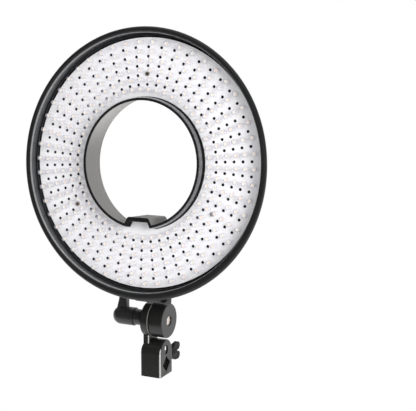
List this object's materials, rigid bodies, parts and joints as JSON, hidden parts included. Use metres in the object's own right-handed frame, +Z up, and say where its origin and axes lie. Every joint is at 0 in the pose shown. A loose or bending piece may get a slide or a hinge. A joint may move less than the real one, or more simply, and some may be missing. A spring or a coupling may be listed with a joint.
{
  "type": "led ring light",
  "caption": "Round ring light with an open centre, a dotted board of clear LEDs, and a tilting stand bracket with clamp lever and stud socket.",
  "frame": {"origin": "centre of the stud socket's mouth, at the bottom of the stand block", "axes": "+Z up along the stand's stud, -Y the way the light shines, +X to the light's left as seen by its user and to the right in the picture"},
  "size_m": [0.35, 0.1279, 0.468],
  "materials": {
    "rim_plastic": "black moulded plastic, semi-gloss",
    "shell_plastic": "black moulded plastic, fine texture",
    "tube_plastic": "light grey moulded plastic, satin",
    "trim_plastic": "black moulded plastic, satin",
    "board_mask": "white solder mask on a glass-fibre board",
    "bare_aluminium": "plain rolled sheet",
    "led_epoxy": "clear epoxy, polished",
    "zinc_steel": "zinc-plated steel",
    "black_screws": "black oxide steel",
    "circuit_board": "green solder mask on a glass-fibre board",
    "component_black": "black and dark sleeved components",
    "control_plastic": "black moulded plastic",
    "plate_steel": "dark grey painted steel sheet",
    "cast_bracket": "die-cast aluminium, black satin paint",
    "handle_plastic": "black glass-filled plastic, fine texture",
    "washer_fibre": "dark fibre",
    "brass": "turned brass"
  },
  "bodies": {
    "stand": {"stand_block": "cast_bracket", "thread_insert": "brass", "friction_washer": "washer_fibre"},
    "pad": {"clamp_pad": "brass"},
    "wing": {"wing_screw": "zinc_steel", "wing_knob": "handle_plastic"},
    "lever": {"lever_handle": "handle_plastic", "lever_nut": "zinc_steel", "lever_collar": "handle_plastic"},
    "head": {"front_rim": "rim_plastic", "rear_shell": "shell_plastic", "centre_tube": "tube_plastic", "hole_skirt": "trim_plastic", "led_board": "board_mask", "heat_spreader": "bare_aluminium", "led_ring_1": "led_epoxy", "led_ring_2": "led_epoxy", "led_ring_3": "led_epoxy", "led_ring_4": "led_epoxy", "led_ring_5": "led_epoxy", "led_ring_6": "led_epoxy", "board_screws": "zinc_steel", "board_nuts": "zinc_steel", "spacer_posts": "zinc_steel", "shell_screws": "black_screws", "driver_board": "circuit_board", "driver_capacitors": "component_black", "driver_inductor": "component_black", "driver_heatsink": "bare_aluminium", "driver_screws": "zinc_steel", "dimmer_pot": "component_black", "power_switch": "control_plastic", "power_inlet": "component_black", "bracket_plate": "plate_steel", "backing_plate": "bare_aluminium", "plate_screws": "black_screws", "tilt_bracket": "cast_bracket", "flange_screws": "black_screws", "tilt_bolt": "zinc_steel"},
    "dimmer": {"dimmer_knob": "control_plastic", "dimmer_shaft": "zinc_steel"},
    "rocker": {"power_rocker": "control_plastic"}
  },
  "joints": [
    {"name": "head_tilt", "type": "hinge", "parent": "stand", "child": "head", "pos_m": [0, 0, 0.0765], "axis": [1, 0, 0], "range_deg": [-84, 95]},
    {"name": "lever_turn", "type": "hinge", "parent": "stand", "child": "lever", "pos_m": [-0.04, 0, 0.0765], "axis": [1, 0, 0], "range_deg": [-100, 100]},
    {"name": "pad_slide", "type": "slide", "parent": "stand", "child": "pad", "axis": [0, -1, 0], "range_m": [0, 0.0025]},
    {"name": "wing_turn", "type": "hinge", "parent": "pad", "child": "wing", "pos_m": [0, 0.04, 0.0155], "axis": [0, -1, 0], "range_deg": [0, 760]},
    {"name": "dimmer_turn", "type": "hinge", "parent": "head", "child": "dimmer", "pos_m": [0.09215, 0.00894, 0.20566], "axis": [0, -0.9955, 0.0945], "range_deg": [0, 270]},
    {"name": "rocker_tip", "type": "hinge", "parent": "head", "child": "rocker", "pos_m": [0.11652, 0.00481, 0.2468], "axis": [1, 0, 0], "range_deg": [0, 20]}
  ],
  "couplings": [
    {"joint": "wing_turn", "follows": "pad_slide", "rad_per_m": 5026.5}
  ]
}
